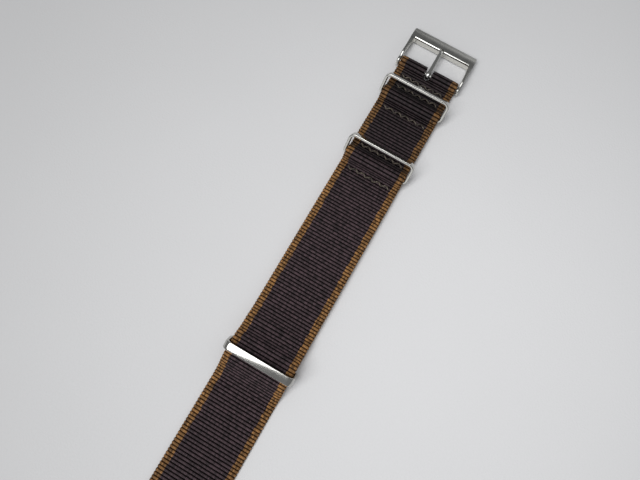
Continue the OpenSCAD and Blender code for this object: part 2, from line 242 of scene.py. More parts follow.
@dataclass
class Route:
    """The middle line of a webbing in the X-Z plane, in millimetres."""

    points: list[Point] = field(default_factory=list)
    step: float = 4.0
    least: float = 1e-3

    def to(self, x: float, z: float) -> "Route":
        """Goes straight to a point, and drops it if the route is already there.

        Args:
            x: The point's place in X.
            z: Its height.

        Returns:
            The route itself.
        """
        if not self.points or math.dist(self.points[-1], (x, z)) > self.least:
            self.points.append((x, z))
        return self

    def arc(self, x: float, z: float, radius: float, start: float, end: float) -> "Route":
        """Follows an arc.

        Args:
            x: Middle of the arc in X.
            z: Middle of the arc in Z.
            radius: The arc's radius.
            start: First angle in degrees.
            end: Last angle in degrees.

        Returns:
            The route itself.
        """
        for point in arc_points(x, z, radius, start, end, max(2, math.ceil(abs(end - start) / self.step))):
            self.to(*point)
        return self

    def s_bend(self, x: float, z: float, rise: float, radius: float) -> "Route":
        """Follows an S bend of two arcs from (x, z), up or down by rise.

        Args:
            x: Start of the bend in X.
            z: Height at its start.
            rise: How far it goes up, or down if negative.
            radius: Radius of both arcs.

        Returns:
            The route itself.
        """
        turn, run = s_turn(rise, radius), s_run(rise, radius)
        if rise > 0:
            self.arc(x, z + radius, radius, -90, turn - 90)
            return self.arc(x + run, z + rise - radius, radius, 90 + turn, 90)
        self.arc(x, z - radius, radius, 90, 90 - turn)
        return self.arc(x + run, z + rise + radius, radius, 270 - turn, 270)

    def over_bar(self, x: float, pivot_z: float, line_r: float, end: float | None = None) -> "Route":
        """Leaves the flat, goes round a bar and, if end isn't given, back to the flat.

        Args:
            x: Middle of the bar in X.
            pivot_z: Height of its middle.
            line_r: Radius of the middle line round it.
            end: Angle in degrees at which the route ends on the bar.

        Returns:
            The route itself.
        """
        s = SIZES
        away = s.span(line_r, pivot_z)
        flat_z = s.upper_z + s.crease_r
        lift = math.degrees(math.asin((flat_z - pivot_z) / (line_r + s.crease_r)))
        self.arc(x - away, flat_z, s.crease_r, -90, -lift)
        if end is not None:
            return self.arc(x, pivot_z, line_r, 180 - lift, end)
        self.arc(x, pivot_z, line_r, 180 - lift, lift)
        return self.arc(x + away, flat_z, s.crease_r, 180 + lift, 270)

    def length(self) -> float:
        """The route's whole length."""
        return sum(math.dist(a, b) for a, b in zip(self.points, self.points[1:]))

    def along(self, x: float, upper: bool) -> float:
        """Length from the start to where the route passes x on the upper or the lower ply.

        Args:
            x: Place along the strap.
            upper: True for the ply above, False for the one on the table.

        Returns:
            The length in millimetres.
        """
        gone = 0.0
        limit = SIZES.web_t + SIZES.ply_gap / 2
        for a, b in zip(self.points, self.points[1:]):
            part = math.dist(a, b)
            if min(a[0], b[0]) <= x <= max(a[0], b[0]) and ((a[1] + b[1]) / 2 > limit) == upper:
                return gone + part * abs(x - a[0]) / max(abs(b[0] - a[0]), 1e-9)
            gone += part
        raise ValueError(f"the route doesn't pass x = {x}")


def long_route() -> Route:
    """The long strap's way: along the table, over the loop, over two keeper bars and round the pin.

    Returns:
        Its middle line, from the tail's tip to the folded end.
    """
    s = SIZES
    over_flap_z = s.top_z + s.half_t
    fold_end = s.rows_x[2] - s.groove_reach - s.flap_l
    fall_x = s.end_x - s.loop_half - s_run(s.hump_z - s.half_t, s.fall_r)
    line_r = s.pocket_r + s.half_t
    route = Route().to(-s.overall_l / 2, s.half_t)
    route.s_bend(fall_x, s.half_t, s.hump_z - s.half_t, s.fall_r)
    route.s_bend(s.end_x + s.loop_half, s.hump_z, over_flap_z - s.hump_z, s.drape_r)
    route.s_bend(s.flap_end + s.lay_gap, over_flap_z, s.upper_z - over_flap_z, s.drape_r)
    route.over_bar(s.middle_x, s.pocket_z, line_r)
    route.over_bar(s.front_x, s.pocket_z, line_r)
    route.over_bar(s.pin_x, s.pin_z, s.fold_r, end=-90)
    return route.to(fold_end, s.half_t)


def short_route() -> Route:
    """The short strap's way: along the table, round the end keeper's lower bar and back onto itself.

    Returns:
        Its middle line, from under the middle keeper to the end of the loop's flap.
    """
    s = SIZES
    route = Route().to(s.rows_x[3] + s.groove_reach + s.flap_l, s.half_t)
    route.arc(s.end_x - s.loop_half, s.loop_z, s.loop_r + s.half_t, 270, 90)
    route.s_bend(s.end_x + s.loop_half, s.loop_top_z, s.upper_z - s.loop_top_z, s.bend_r)
    return route.to(s.flap_end, s.upper_z)


# Modelling helpers


def deselect() -> None:
    """Deselects every object."""
    for obj in bpy.context.view_layer.objects:
        obj.select_set(False)


def use(obj: Piece) -> None:
    """Makes obj the only selected and the active object.

    Args:
        obj: The object.
    """
    deselect()
    obj.select_set(True)
    bpy.context.view_layer.objects.active = obj


def added(name: str) -> Piece:
    """Names the object that the last primitive operator added.

    Args:
        name: The name for the object and its mesh.

    Returns:
        The object.
    """
    obj = bpy.context.active_object
    obj.name = name
    obj.data.name = name
    return obj


def edit(obj: Piece, wanted: Callable[[Vector], bool] | None = None, faces: bool = False) -> None:
    """Enters edit mode with the points or faces that a rule picks selected.

    Args:
        obj: The mesh object.
        wanted: Rule on a point's place, or on a face's middle; all are selected without one.
        faces: True to pick faces.
    """
    use(obj)
    bpy.ops.object.mode_set(mode="EDIT")
    bpy.ops.mesh.select_mode(type="FACE" if faces else "VERT")
    bpy.ops.mesh.select_all(action="DESELECT" if wanted else "SELECT")
    if wanted:
        leave()
        for item in obj.data.polygons if faces else obj.data.vertices:
            item.select = wanted(item.center if faces else item.co)
        bpy.ops.object.mode_set(mode="EDIT")


def leave() -> None:
    """Goes back to object mode."""
    bpy.ops.object.mode_set(mode="OBJECT")


def draw_out(move: Triple) -> None:
    """Extrudes what is selected along a move."""
    bpy.ops.mesh.extrude_region_move(TRANSFORM_OT_translate={"value": move})


def close_up() -> None:
    """Turns every face of the mesh outwards, and leaves edit mode."""
    bpy.ops.mesh.select_all(action="SELECT")
    bpy.ops.mesh.normals_make_consistent(inside=False)
    leave()


def apply(obj: Piece, kind: str, **settings: object) -> None:
    """Adds a modifier with these settings and applies it.

    Args:
        obj: The mesh object.
        kind: The modifier's type.
        settings: The modifier's properties.
    """
    use(obj)
    modifier = obj.modifiers.new(kind.title(), kind)
    for key, value in settings.items():
        setattr(modifier, key, value)
    bpy.ops.object.modifier_apply(modifier=modifier.name)


def reshape(obj: Piece, rule: Callable[[Vector], Vector]) -> None:
    """Moves every point of a mesh to where the rule sends it.

    Args:
        obj: The mesh object.
        rule: Gives the new place for an old one.
    """
    for vertex in obj.data.vertices:
        vertex.co = rule(vertex.co.copy())
    obj.data.update()


def cut(obj: Piece, tool: Piece, operation: str = "DIFFERENCE") -> None:
    """Cuts obj with a closed tool mesh, and removes the tool."""
    apply(obj, "BOOLEAN", object=tool, operation=operation, solver="EXACT")
    bpy.data.objects.remove(tool)


def smooth(obj: Piece, angle: float) -> None:
    """Shades a mesh smooth across edges flatter than angle, in degrees."""
    use(obj)
    bpy.ops.object.shade_smooth_by_angle(angle=math.radians(angle))


def upright(obj: Piece) -> None:
    """Applies the turn that a primitive was added with."""
    use(obj)
    bpy.ops.object.transform_apply(location=False, rotation=True, scale=False)


def map_uv(obj: Piece, rule: Callable[[Vector], Point]) -> None:
    """Gives a mesh a UV map that follows from its points' places.

    Args:
        obj: The mesh object.
        rule: Gives the place on the map for a point's place.
    """
    layers = obj.data.uv_layers
    layer = layers[0] if layers else layers.new(name="UVMap")
    layer.name = "UVMap"
    for loop in obj.data.loops:
        layer.data[loop.index].uv = rule(obj.data.vertices[loop.vertex_index].co)


def ring(name: str, points: list[Triple], fill: str = "NGON") -> Piece:
    """A closed ring through its points, filled with one face or left open.

    Args:
        name: Name of the object.
        points: Its points in order.
        fill: NGON, or NOTHING to leave it open.

    Returns:
        The ring.
    """
    bpy.ops.mesh.primitive_circle_add(vertices=len(points), radius=1, fill_type=fill)
    obj = added(name)
    for vertex, point in zip(obj.data.vertices, points):
        vertex.co = point
    return obj


def extruded(name: str, outline: list[Point], low: float, high: float) -> Piece:
    """A prism that stands on an outline in the X-Y plane.

    Args:
        name: Name of the object.
        outline: Corners in order.
        low: Height of its underside.
        high: Height of its top.

    Returns:
        The prism.
    """
    obj = ring(name, [(x, y, low) for x, y in outline])
    edit(obj)
    draw_out((0, 0, high - low))
    close_up()
    return obj


def drawn_across(name: str, side: list[Point], reach: float) -> Piece:
    """A prism with its side in the X-Z plane, drawn out by reach to the left and to the right.

    Args:
        name: Name of the object.
        side: Corners of its side in order.
        reach: Half its width.

    Returns:
        The prism.
    """
    obj = extruded(name, side, -reach, reach)
    obj.data.transform(Matrix.Rotation(math.pi / 2, 4, "X"))
    return obj


def crossing(inside: Vector, outside: Vector, radius: float) -> float:
    """Angle in degrees at which a line leaves a circle round the origin.

    Args:
        inside: A point of the line inside the circle.
        outside: A point of the line outside it.
        radius: The circle's radius.

    Returns:
        The angle from the X axis, between -180 and 180.
    """
    low, high = 0.0, 1.0
    for _ in range(HALVINGS):
        middle = (low + high) / 2
        if inside.lerp(outside, middle).length < radius:
            low = middle
        else:
            high = middle
    place = inside.lerp(outside, low)
    return math.degrees(math.atan2(place.y, place.x))


def arc_points(x: float, y: float, radius: float, start: float, end: float, count: int = 16) -> list[Point]:
    """Points on an arc from one angle to another, in degrees."""
    turns = [math.radians(start + (end - start) * i / count) for i in range(count + 1)]
    return [(x + radius * math.cos(t), y + radius * math.sin(t)) for t in turns]


def join(name: str, parts: list[Piece]) -> Piece:
    """Joins meshes into one object.

    Args:
        name: Name of the joined object.
        parts: The meshes to join.

    Returns:
        The joined object.
    """
    deselect()
    for part in parts:
        part.select_set(True)
    bpy.context.view_layer.objects.active = parts[0]
    bpy.ops.object.join()
    return added(name)


def settle(obj: Piece, body: Body, slot: Slot, material: bpy.types.Material, *nodes: str,
           marked: Iterable[bpy.types.Material] = ()) -> None:
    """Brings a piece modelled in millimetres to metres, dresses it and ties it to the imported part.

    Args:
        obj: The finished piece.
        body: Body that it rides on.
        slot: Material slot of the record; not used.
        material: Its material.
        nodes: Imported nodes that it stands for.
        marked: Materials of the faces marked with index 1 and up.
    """
    use(obj)
    obj.data.transform(Matrix.Scale(MM, 4) @ obj.matrix_world)
    obj.matrix_world = Matrix.Identity(4)
    marks = [polygon.material_index for polygon in obj.data.polygons]
    obj.data.materials.clear()
    for each in (material, *marked):
        obj.data.materials.append(each)
    obj.data.polygons.foreach_set("material_index", marks)
    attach(obj, body.value)
    if nodes:
        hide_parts(*nodes)
    LOG.info("%s: %d faces, rides on %s", obj.name, len(obj.data.polygons), body.value)


# Materials


class Graph:
    """A material's node tree, with short calls for the nodes it needs."""

    def __init__(self, name: str) -> None:
        """Starts an empty material of that name.

        Args:
            name: The material's name.
        """
        self.material = bpy.data.materials.new(name)
        self.material.use_nodes = True
        self.tree = self.material.node_tree
        self.tree.nodes.clear()

    def node(self, kind: str, **settings: object) -> bpy.types.Node:
        """Adds a node and sets its properties.

        Args:
            kind: The node's type.
            settings: Its properties.

        Returns:
            The node.
        """
        made = self.tree.nodes.new(kind)
        for key, value in settings.items():
            setattr(made, key, value)
        return made

    def feed(self, socket: Socket, value: object) -> None:
        """Links a socket to another, or sets its value; a colour may come without its alpha.

        Args:
            socket: An input.
            value: Another node's output, or a value.
        """
        if isinstance(value, bpy.types.NodeSocket):
            self.tree.links.new(value, socket)
        elif socket.type == "RGBA":
            socket.default_value = (*value, 1.0)
        else:
            socket.default_value = value

    def first_output(self, kind: str, *values: object, **settings: object) -> Socket:
        """Adds a node, feeds its first inputs in order and returns its first output.

        Args:
            kind: The node's type.
            values: What its first inputs get, in order.
            settings: Its properties.

        Returns:
            The node's first output.
        """
        made = self.node(kind, **settings)
        for socket, value in zip(made.inputs, values):
            self.feed(socket, value)
        return made.outputs[0]

    def place(self) -> Socket:
        """The Object coordinates."""
        return self.node("ShaderNodeTexCoord").outputs["Object"]

    def uv(self) -> Socket:
        """The piece's own UV map."""
        return self.first_output("ShaderNodeUVMap", uv_map="UVMap")

    def math(self, operation: str, *values: object) -> Socket:
        """The result of a Math node."""
        return self.first_output("ShaderNodeMath", *values, operation=operation)

    def plus(self, *values: object) -> Socket:
        """The sum of several values."""
        return reduce(lambda one, two: self.math("ADD", one, two), values)

    def times(self, *values: object) -> Socket:
        """The product of several values."""
        return reduce(lambda one, two: self.math("MULTIPLY", one, two), values)

    def wave(self, value: Socket) -> Socket:
        """Half a sine wave over each whole step of a value."""
        return self.math("SINE", self.times(self.math("FRACT", value), math.pi))

    def spread(self, value: Socket, step: Step) -> Socket:
        """A smooth step from one range to another."""
        return self.first_output("ShaderNodeMapRange", value, *step, interpolation_type="SMOOTHSTEP")

    def mix(self, factor: object, first: object, second: object, blend: str = "MIX") -> Socket:
        """The result of a colour Mix node.

        Args:
            factor: Share of the second colour.
            first: First colour, or a socket.
            second: Second colour, or a socket.
            blend: How the two are mixed.

        Returns:
            The node's output.
        """
        made = self.node("ShaderNodeMix", data_type="RGBA", blend_type=blend)
        for index, entry in ((0, factor), (6, first), (7, second)):
            self.feed(made.inputs[index], entry)
        return made.outputs[2]

    def tinted(self, colour: object, light: Socket) -> Socket:
        """A colour made lighter or darker."""
        return self.mix(1.0, colour, self.vector(light, light, light), blend="MULTIPLY")

    def parts(self, vector: Socket) -> list[Socket]:
        """Takes a vector apart.

        Args:
            vector: The vector.

        Returns:
            Its X, Y and Z.
        """
        made = self.node("ShaderNodeSeparateXYZ")
        self.feed(made.inputs[0], vector)
        return list(made.outputs)

    def vector(self, *values: object) -> Socket:
        """A vector of X, Y and Z."""
        return self.first_output("ShaderNodeCombineXYZ", *values)

    def noise(self, vector: Socket, scale: float | Triple, detail: float) -> Socket:
        """Noise between 0 and 1, stretched by a Mapping node where there is a scale for each axis.

        Args:
            vector: Coordinates to read.
            scale: One scale, or one for each axis.
            detail: Levels of detail.

        Returns:
            The node's output.
        """
        if isinstance(scale, tuple):
            stretch = self.node("ShaderNodeMapping")
            self.feed(stretch.inputs["Vector"], vector)
            stretch.inputs["Scale"].default_value = scale
            vector, scale = stretch.outputs[0], 1.0
        made = self.node("ShaderNodeTexNoise")
        self.feed(made.inputs["Vector"], vector)
        made.inputs["Scale"].default_value = scale
        made.inputs["Detail"].default_value = detail
        return made.outputs[0]

    def speckle(self, vector: Socket) -> Socket:
        """One random value for each whole step of a vector.

        Args:
            vector: The vector.

        Returns:
            The node's output.
        """
        made = self.node("ShaderNodeTexWhiteNoise", noise_dimensions="3D")
        self.feed(made.inputs["Vector"], vector)
        return made.outputs["Value"]

    def bump(self, height: Socket, strength: float, distance: float) -> Socket:
        """A normal bent by a height.

        Args:
            height: The height.
            strength: Strength of the effect.
            distance: Depth of the relief in metres.

        Returns:
            The node's output.
        """
        made = self.node("ShaderNodeBump")
        made.inputs["Strength"].default_value = strength
        made.inputs["Distance"].default_value = distance
        self.feed(made.inputs["Height"], height)
        return made.outputs[0]

    def finish(self, colour: Socket, roughness: object, normal: Socket,
               **others: object) -> bpy.types.Material:
        """Closes the tree with a Principled shader.

        Args:
            colour: Base colour.
            roughness: Roughness, or a socket.
            normal: Bent normal.
            others: Other inputs of the shader, with spaces written as underscores.

        Returns:
            The finished material.
        """
        shader = self.node("ShaderNodeBsdfPrincipled")
        inputs = {"Base_Color": colour, "Roughness": roughness, "Normal": normal, **others}
        for key, value in inputs.items():
            self.feed(shader.inputs[key.replace("_", " ")], value)
        self.feed(self.node("ShaderNodeOutputMaterial").inputs["Surface"], shader.outputs[0])
        return self.material


@dataclass(frozen=True)
class WebbingFinish:
    """Ribbed nylon: dark centre and tan edges, with warp yarns that cross each rib. Painted shade darkens
    the gaps between ribs and yarns, the webbing towards the buckle and the tail, and a band beside each
    keeper pocket; painted light lifts the tan stripes near the buckle.
    """

    name: str
    ground: Triple = (0.066, 0.04, 0.047)
    # Painted shade: the gap colours are near black, for the gaps between ribs.
    gap_shade: Triple = (0.004, 0.003, 0.003)
    stripe: Triple = (0.32, 0.158, 0.05)
    stripe_gap_shade: Triple = (0.034, 0.016, 0.007)
    stripe_from: float = 7.8
    stripe_jitter: float = 0.28
    yarn_w: float = 0.42
    # Painted shade: how far the gaps between ribs and between yarns darken.
    rib_lit: Step = (0.24, 0.86, 0.0, 1.0)
    yarn_lit: Step = (0.0, 0.75, 0.62, 1.0)
    own_light: float = 0.95
    wander_light: float = 0.9
    wander_scale: Triple = (0.9, 0.6, 1.0)
    # Painted shade: the webbing darkens towards the buckle and towards the tail.
    painted_buckle_shade: Step = (0.08, 0.122, 1.0, 0.42)
    painted_tail_shade: Step = (-0.01, 0.03, 0.8, 1.0)
    # Painted light: lifts the tan stripes near the buckle out of part of the painted shade there.
    stripe_painted_light: Step = (0.09, 0.125, 0.0, 0.42)
    # Painted shadow: a dark band beside each keeper pocket, set this far from the keeper's bar.
    pocket_shadow_off: float = 2.7
    painted_pocket_shadow: Step = (0.0006, 0.0022, 0.5, 1.0)
    fuzz_scale: Triple = (4.0, 9.0, 1.0)
    fuzz_h: float = 0.35
    relief: Point = (0.8, 0.00012)
    rough: Step = (0.3, 0.7, 0.5, 0.66)
    gleam: float = 0.45

    def material(self) -> bpy.types.Material:
        """Builds the material. Its UV map counts ribs along the strap and millimetres across it.

        Returns:
            The finished material.
        """
        g = Graph(self.name)
        uv = g.uv()
        along, across, _ = g.parts(uv)
        rib, crest = g.math("FLOOR", along), g.wave(along)
        shift = g.times(g.math("MODULO", rib, 2.0), 0.5)
        column = g.plus(g.math("DIVIDE", across, self.yarn_w), shift)
        yarn = g.wave(column)
        own = g.speckle(g.vector(g.math("FLOOR", column), rib, 0.0))
        jitter = g.times(g.math("SUBTRACT", own, 0.5), self.stripe_jitter)
        tan = g.math("GREATER_THAN", g.plus(g.math("ABSOLUTE", across), jitter), self.stripe_from)
        body = g.mix(tan, self.ground, self.stripe)
        # Painted shade: the gaps between ribs and yarns turn near black
        crevice_shade = g.mix(tan, self.gap_shade, self.stripe_gap_shade)
        shade = g.times(g.spread(crest, self.rib_lit), g.spread(yarn, self.yarn_lit))
        wander = g.noise(uv, self.wander_scale, detail=3.0)
        fleck = g.plus(g.times(own, self.own_light), g.times(wander, self.wander_light))
        spot, _, _ = g.parts(g.place())
        # Painted shade towards the buckle and towards the tail
        ends = g.times(g.spread(spot, self.painted_buckle_shade), g.spread(spot, self.painted_tail_shade))
        # Painted light on the tan stripes near the buckle
        painted_stripe_light = g.times(tan, g.spread(spot, self.stripe_painted_light))
        light = g.times(fleck, ends, g.plus(painted_stripe_light, 1.0))
        # Painted shadow: a dark band beside each keeper pocket, where the bar shades the hump
        for pocket_x in (SIZES.front_x, SIZES.middle_x):
            off = g.math("ABSOLUTE", g.math("SUBTRACT", spot, (pocket_x + self.pocket_shadow_off) * MM))
            light = g.times(light, g.spread(off, self.painted_pocket_shadow))
        fuzz = g.noise(uv, self.fuzz_scale, detail=3.0)
        normal = g.bump(g.plus(g.times(yarn, crest), g.times(fuzz, self.fuzz_h)), *self.relief)
        return g.finish(g.tinted(g.mix(shade, crevice_shade, body), light), g.spread(fuzz, self.rough), normal,
                        Specular_IOR_Level=g.times(shade, self.gleam))


@dataclass(frozen=True)
class ThreadFinish:
    """Thick twisted sewing thread, a shade lighter than the webbing, with painted shade in the grooves
    between its strands.
    """

    name: str = "sewing_thread"
    ground: Triple = (0.212, 0.173, 0.13)
    # Painted shade: near-black colour for the grooves between the twist's strands.
    crevice_shade: Triple = (0.01, 0.008, 0.007)
    hair_scale: Triple = (2.0, 14.0, 1.0)
    hair_h: float = 0.3
    relief: Point = (0.7, 0.0001)
    hair_lit: Step = (0.2, 0.8, 0.6, 1.0)
    strand_lit: Step = (0.1, 0.8, 0.0, 1.0)
    patch_scale: float = 900.0
    patch_lit: Step = (0.36, 0.62, 0.3, 1.0)
    rough: Step = (0.2, 0.8, 0.42, 0.62)
    gleam: float = 0.6

    def material(self) -> bpy.types.Material:
        """Builds the material. Its UV map counts turns of the twist along the thread.

        Returns:
            The finished material.
        """
        g = Graph(self.name)
        uv = g.uv()
        along, around, _ = g.parts(uv)
        strand = g.wave(g.plus(along, around))
        hair = g.noise(uv, self.hair_scale, detail=3.0)
        patch = g.spread(g.noise(g.place(), self.patch_scale, detail=1.0), self.patch_lit)
        # Painted shade in the grooves between strands
        lit = g.times(g.spread(strand, self.strand_lit), g.spread(hair, self.hair_lit), patch)
        normal = g.bump(g.plus(strand, g.times(hair, self.hair_h)), *self.relief)
        return g.finish(g.mix(lit, self.crevice_shade, self.ground), g.spread(hair, self.rough), normal,
                        Specular_IOR_Level=self.gleam)


@dataclass(frozen=True)
class SteelFinish:
    """Stainless steel with fine brush lines across the strap and faint rubbing."""

    name: str
    tone: Triple
    rough: float
    lines: float
    rough_range: float = 0.12
    grain: Triple = (5000.0, 250.0, 5000.0)
    rub_scale: Triple = (420.0, 420.0, 420.0)
    brush_light: float = 0.16
    rub_light: float = 0.14
    least_light: float = 0.85
    brush_share: float = 0.6
    rub_share: float = 0.4
    worn_range: Point = (0.3, 0.7)
    line_d: float = 0.00001

    def material(self) -> bpy.types.Material:
        """Builds the material from Object coordinates.

        Returns:
            The finished material.
        """
        g = Graph(self.name)
        place = g.place()
        brush = g.noise(place, self.grain, detail=3.0)
        rub = g.noise(place, self.rub_scale, detail=4.0)
        light = g.plus(g.times(brush, self.brush_light), g.times(rub, self.rub_light), self.least_light)
        worn = g.plus(g.times(brush, self.brush_share), g.times(rub, self.rub_share))
        half = self.rough_range / 2
        rough = g.spread(worn, (*self.worn_range, self.rough - half, self.rough + half))
        normal = g.bump(brush, self.lines, self.line_d)
        return g.finish(g.tinted(self.tone, light), rough, normal, Metallic=1.0)


@dataclass(frozen=True)
class ClothFinish:
    """The pale table cloth under the strap, with painted shade that darkens it away from a painted pool of
    light at its middle.
    """

    name: str = "pale_cloth"
    tone: Triple = (0.82, 0.82, 0.83)
    # Painted shade: the tone that the cloth fades to away from the centre below.
    painted_shade_tone: Triple = (0.53, 0.53, 0.535)
    light_pool_centre: Point = (0.066, -0.045)
    reach: float = 0.22
    soft_scale: float = 14.0
    soft_light: float = 0.05
    fine_scale: Triple = (1700.0, 1700.0, 1.0)
    fine_light: float = 0.04
    relief: Point = (0.25, 0.0002)
    least_light: float = 0.955
    rough: float = 0.9
    gleam: float = 0.1

    def material(self) -> bpy.types.Material:
        """Builds the material from Object coordinates.

        Returns:
            The finished material.
        """
        g = Graph(self.name)
        place = g.place()
        soft = g.noise(place, self.soft_scale, detail=3.0)
        fine = g.noise(place, self.fine_scale, detail=2.0)
        light = g.plus(g.times(soft, self.soft_light), g.times(fine, self.fine_light), self.least_light)
        # Painted pool of light: bright at the centre, shading off over the reach
        away = g.node("ShaderNodeVectorMath", operation="DISTANCE")
        g.feed(away.inputs[0], place)
        away.inputs[1].default_value = (*self.light_pool_centre, 0.0)
        tone = g.mix(g.spread(away.outputs["Value"], (0.0, self.reach, 0.0, 1.0)), self.tone, self.painted_shade_tone)
        return g.finish(g.tinted(tone, light), self.rough, g.bump(fine, *self.relief),
                        Specular_IOR_Level=self.gleam)


# Webbing


@dataclass
class RibbedWebbing:
    """A length of ribbed webbing that is woven flat, cut to shape and then laid along its route."""

    name: str
    route: Route
    rib: float = 1.0
    neck: float = 0.24
    scallop: float = 0.22
    scallop_power: int = 12
    phases: tuple[float, ...] = (0.0, 0.2, 0.5, 0.8, 1.0)
    swell: tuple[float, ...] = (0.0, 0.76, 1.0, 0.76, 0.0)
    stations: tuple[float, ...] = (0.0, 3.9, 7.8, 9.2, 9.75, 10.0)
    plump: tuple[float, ...] = (1.0, 1.0, 1.0, 0.96, 0.68, 0.0)
    pinch_floor: float = 0.55
    pinch_slope: float = 0.6
    pinch_reach: float = 0.25
    core_z: float = 0.02

    def __post_init__(self) -> None:
        """Fits a whole number of ribs into the route."""
        self.ribs = round(self.route.length() / self.rib)
        self.pitch = self.route.length() / self.ribs

    def cell(self) -> Piece:
        """Makes one rib, from side to side of the webbing.

        Returns:
            The rib's mesh, open at both ends.
        """
        last = len(self.stations) - 1
        steps = len(self.phases) - 1
        bpy.ops.mesh.primitive_grid_add(x_subdivisions=steps, y_subdivisions=2 * last, size=1)
        obj = added(self.name)

        def rule(co: Vector) -> Vector:
            """Puts one point of the grid at its station across the webbing and its phase of the rib.

            Args:
                co: The point's place in the grid.

            Returns:
                Its place on the rib.
            """
            i = round((co.x + 0.5) * steps)
            j = round(abs(co.y) * 2 * last)
            side = 1.0 if co.y >= 0 else -1.0
            swell, width = self.swell[i], self.stations[j]
            pull = self.scallop * (1 - swell) * (width / self.stations[-1]) ** self.scallop_power
            height = (SIZES.half_t - self.neck * (1 - swell)) * self.plump[j]
            return Vector((self.phases[i] * self.pitch, side * (width - pull), height))

        reshape(obj, rule)
        apply(obj, "MIRROR", use_axis=(False, False, True), use_mirror_merge=True, merge_threshold=WELD / 2)
        return obj

    def woven(self) -> Piece:
        """The flat webbing, closed at both ends.

        Returns:
            The webbing along X, as long as its route.
        """
        obj = self.cell()
        apply(obj, "ARRAY", count=self.ribs, use_relative_offset=False, use_constant_offset=True,
              constant_offset_displace=(self.pitch, 0, 0), use_merge_vertices=True, merge_threshold=WELD)
        for end in (0.0, self.pitch * self.ribs):
            edit(obj, lambda co, end=end: abs(co.x - end) < NEAR)
            bpy.ops.mesh.edge_face_add()
            leave()
        edit(obj)
        close_up()
        return obj

    def pinch(self, obj: Piece, places: list[float]) -> None:
        """Pulls the outer face in where rows of thread cross it.

        Args:
            obj: The flat webbing.
            places: Lengths along the route at which rows cross.
        """
        s = SIZES

        def rule(co: Vector) -> Vector:
            """Lowers one point of the outer face by its share of each groove.

            Args:
                co: The point's place.

            Returns:
                Its new place.
            """
            for place in places:
                away = abs(co.x - place)
                if co.z > self.core_z and away < s.groove_reach + self.pinch_reach:
                    slope = min(1.0, max(0.0, (away - self.pinch_floor) / self.pinch_slope))
                    share = 0.5 + 0.5 * math.cos(math.pi * slope)
                    co.z -= min(s.groove_d * share, co.z - self.core_z)
            return co

        reshape(obj, rule)

    def lay(self, obj: Piece) -> None:
        """Maps the flat webbing, then bends it along its route.

        Args:
            obj: The flat webbing.
        """
        map_uv(obj, lambda co: (co.x / self.pitch, co.y))
        line = bpy.data.curves.new(self.name + "_line", "CURVE")
        line.dimensions = "2D"
        spline = line.splines.new("POLY")
        spline.points.add(len(self.route.points) - 1)
        for point, (x, z) in zip(spline.points, self.route.points):
            point.co = (x, z, 0, 1)
        guide = bpy.data.objects.new(self.name + "_line", line)
        bpy.context.scene.collection.objects.link(guide)
        guide.rotation_euler = (math.pi / 2, 0, 0)
        bpy.context.view_layer.update()
        apply(obj, "CURVE", object=guide, deform_axis="POS_X")
        bpy.data.objects.remove(guide)
        smooth(obj, angle=76.0)


@dataclass
class LongStrap(RibbedWebbing):
    """The strap that carries everything: tail, holes, pockets and the fold round the pin."""

    slot_ease: float = 0.4
    hole_sides: int = 28
    tool_h: float = 2.0
    spare: float = 1.0

    def tail(self) -> Piece:
        """A prism with the tail's outline, wider than the webbing elsewhere.

        Returns:
            The tool that trims the strap.
        """
        s = SIZES
        wide, half = s.web_w / 2 + self.spare, s.web_w / 2
        curve_y = s.tail_side_r - half
        back = math.sqrt((s.tail_side_r - s.tail_nose_r) ** 2 - curve_y ** 2)
        turn = math.degrees(math.acos(back / (s.tail_side_r - s.tail_nose_r)))
        curve_x = s.tail_nose_r + back
        far = self.route.length() + 2 * self.spare
        outline = [(far, -wide), (far, wide), (curve_x, wide)]
        outline += arc_points(curve_x, -curve_y, s.tail_side_r, 90, 180 - turn)
        outline += arc_points(s.tail_nose_r, 0, s.tail_nose_r, 180 - turn, 180 + turn)[1:]
        outline += arc_points(curve_x, curve_y, s.tail_side_r, 180 + turn, 270)[1:]
        outline += [(curve_x, -wide)]
        return extruded("tail_tool", outline[::-1], -self.tool_h, self.tool_h)

    def holes(self) -> Piece:
        """The row of adjustment holes, as pins to cut with.

        Returns:
            The tool that cuts all holes.
        """
        s = SIZES
        pins = []
        for i in range(s.hole_n):
            place = (s.hole_first + i * s.hole_pitch, 0, 0)
            bpy.ops.mesh.primitive_cylinder_add(vertices=self.hole_sides, radius=s.hole_r,
                                                depth=2 * self.tool_h, location=place)
            pins.append(added("hole_tool"))
        return join("hole_tool", pins)

    def slot(self) -> Piece:
        """The slot for the tongue, as a block with round ends.

        Returns:
            The tool that cuts the slot.
        """
        s = SIZES
        half = s.slot_w / 2
        back = s.pin_x - s.slot_back + self.slot_ease
        start, end = self.route.along(back, True) + half, self.route.along(back, False) - half
        outline = arc_points(start, 0, half, 90, 270) + arc_points(end, 0, half, -90, 90)
        return extruded("slot_tool", outline, -self.tool_h, self.tool_h)

    def build(self) -> Piece:
        """Weaves, cuts, pinches and lays the strap.

        Returns:
            The finished webbing.
        """
        obj = self.woven()
        cut(obj, self.tail(), "INTERSECT")
        cut(obj, self.holes())
        cut(obj, self.slot())
        rows = SIZES.rows_x
        upper = [self.route.along(x, True) for x in rows]
        self.pinch(obj, upper + [self.route.along(x, False) for x in rows[:3]])
        self.lay(obj)
        return obj


@dataclass
class ShortStrap(RibbedWebbing):
    """The under strap that holds the end keeper in its loop."""

    def build(self) -> Piece:
        """Weaves, pinches and lays the strap.

        Returns:
            The finished webbing.
        """
        obj = self.woven()
        s = SIZES
        lower = [self.route.along(x, False) for x in (s.rows_x[3], s.rows_x[4], s.row_end_x)]
        self.pinch(obj, lower + [self.route.along(s.row_end_x, True)])
        self.lay(obj)
        return obj


# Stitching


